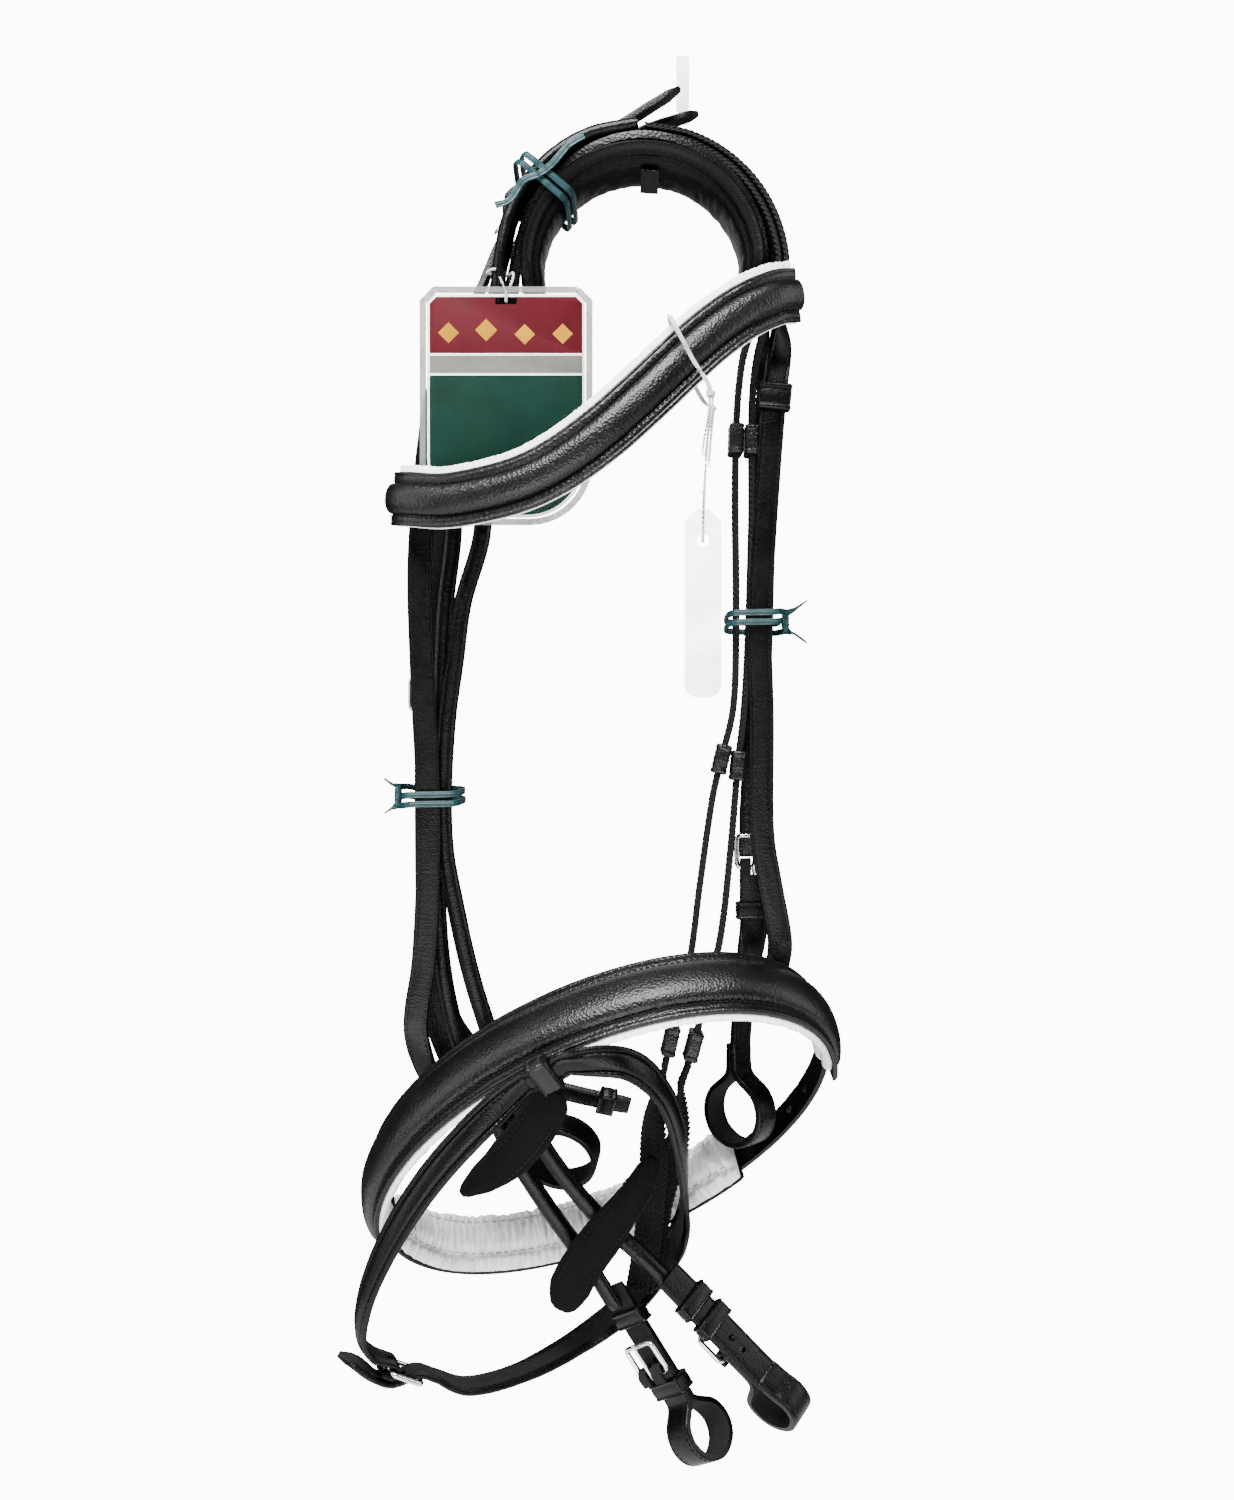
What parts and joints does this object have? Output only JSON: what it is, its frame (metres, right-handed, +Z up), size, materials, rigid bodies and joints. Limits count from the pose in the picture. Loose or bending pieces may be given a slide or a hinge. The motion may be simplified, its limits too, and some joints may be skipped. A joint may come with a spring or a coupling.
{
  "type": "dressage_bridle",
  "caption": "Black leather dressage bridle with white padded linings, flash noseband, browband and rolled reins, tied up for display with blank tags.",
  "frame": {"origin": "the hanging point, under the middle of the padded crown", "axes": "+X is to the viewer's right, -Y is the front (towards the viewer), +Z is up"},
  "size_m": [0.2464, 0.1348, 0.7092],
  "materials": {
    "black_leather": "semi-gloss grained leather",
    "black_soft_leather": "matt soft leather",
    "black_webbing": "braided webbing",
    "polished_steel": "polished",
    "tag_card": "printed card in a clear sleeve",
    "teal_tie": "plastic strip",
    "white_cotton": "twisted string",
    "white_leather": "satin padded leather",
    "white_paper": "plain tag"
  },
  "bodies": {
    "bridle": {"browband": "black_leather", "browband_lining": "white_leather", "browband_loop_left": "black_leather", "browband_loop_right": "black_leather", "cheek_buckle_left": "polished_steel", "cheek_buckle_right": "polished_steel", "cheek_keeper_right": "black_leather", "cheekpiece_left": "black_leather", "cheekpiece_right": "black_leather", "chin_pad": "white_leather", "chin_pad_cover": "black_leather", "flash_buckle": "polished_steel", "flash_loop": "black_leather", "flash_pad_lower": "black_soft_leather", "flash_pad_upper": "black_soft_leather", "flash_strap": "black_leather", "flash_tongue": "polished_steel", "hand_stop_left_1": "black_leather", "hand_stop_left_2": "black_leather", "hand_stop_left_3": "black_leather", "hand_stop_right_1": "black_leather", "hand_stop_right_2": "black_leather", "hand_stop_right_3": "black_leather", "headpiece": "black_leather", "headstrap_buckle": "polished_steel", "headstrap_left": "black_leather", "headstrap_right": "black_leather", "headstrap_tongue": "polished_steel", "noseband_front": "black_leather", "noseband_lining": "white_leather", "noseband_strap": "black_leather", "poll_keeper": "black_leather", "poll_pad": "black_soft_leather", "price_string": "white_cotton", "rein_billet_left": "black_leather", "rein_billet_right": "black_leather", "rein_buckle_left": "polished_steel", "rein_buckle_right": "polished_steel", "rein_keeper_right_2": "black_leather", "rein_rolled_left": "black_leather", "rein_rolled_right": "black_leather", "rein_web_left": "black_webbing", "rein_web_right": "black_webbing", "size_label": "white_paper", "swing_string": "white_cotton", "throatlash": "black_leather", "throatlash_keeper": "black_leather", "tie_left": "teal_tie", "tie_right": "teal_tie", "tie_top": "teal_tie"},
    "cheek_tongue_left": {"cheek_tongue_left": "polished_steel"},
    "cheek_tongue_right": {"cheek_tongue_right": "polished_steel"},
    "rein_tongue_left": {"rein_tongue_left": "polished_steel"},
    "rein_tongue_right": {"rein_tongue_right": "polished_steel"},
    "rein_keeper_left_1": {"rein_keeper_left_1": "black_leather"},
    "rein_keeper_left_2": {"rein_keeper_left_2": "black_leather"},
    "rein_keeper_right_1": {"rein_keeper_right_1": "black_leather"},
    "swing_tag": {"swing_tag": "tag_card"},
    "price_tag": {"price_tag": "white_paper"}
  },
  "joints": [
    {"name": "cheek_tongue_left_hinge", "type": "hinge", "parent": "bridle", "child": "cheek_tongue_left", "pos_m": [-0.1125, 0.0132, -0.265], "axis": [1, 0, 0], "range_deg": [0, 95]},
    {"name": "cheek_tongue_right_hinge", "type": "hinge", "parent": "bridle", "child": "cheek_tongue_right", "pos_m": [0.053, 0.0141, -0.345], "axis": [1, 0, 0], "range_deg": [0, 95]},
    {"name": "rein_tongue_left_hinge", "type": "hinge", "parent": "bridle", "child": "rein_tongue_left", "pos_m": [0.04023, -0.00681, -0.58247], "axis": [-0.5639, -0.6176, -0.5483], "range_deg": [0, 95]},
    {"name": "rein_tongue_right_hinge", "type": "hinge", "parent": "bridle", "child": "rein_tongue_right", "pos_m": [0.00242, -0.00979, -0.59413], "axis": [0.6145, -0.6555, 0.4389], "range_deg": [0, 95]},
    {"name": "rein_keeper_left_1_slide", "type": "slide", "parent": "bridle", "child": "rein_keeper_left_1", "axis": [0.6971, 0, -0.717], "range_m": [-0.0025, 0.0015]},
    {"name": "rein_keeper_left_2_slide", "type": "slide", "parent": "bridle", "child": "rein_keeper_left_2", "axis": [0.6971, 0, -0.717], "range_m": [-0.0015, 0.003]},
    {"name": "rein_keeper_right_1_slide", "type": "slide", "parent": "bridle", "child": "rein_keeper_right_1", "axis": [0.5369, -0.0601, -0.8415], "range_m": [-0.0025, 0.005]},
    {"name": "swing_tag_hinge", "type": "hinge", "parent": "bridle", "child": "swing_tag", "pos_m": [-0.0705, -0.024, -0.067], "axis": [0, 1, 0], "range_deg": [-12, 0]},
    {"name": "price_tag_hinge", "type": "hinge", "parent": "bridle", "child": "price_tag", "pos_m": [0.0235, -0.062, -0.188], "axis": [0, 1, 0], "range_deg": [-15, 15]}
  ]
}
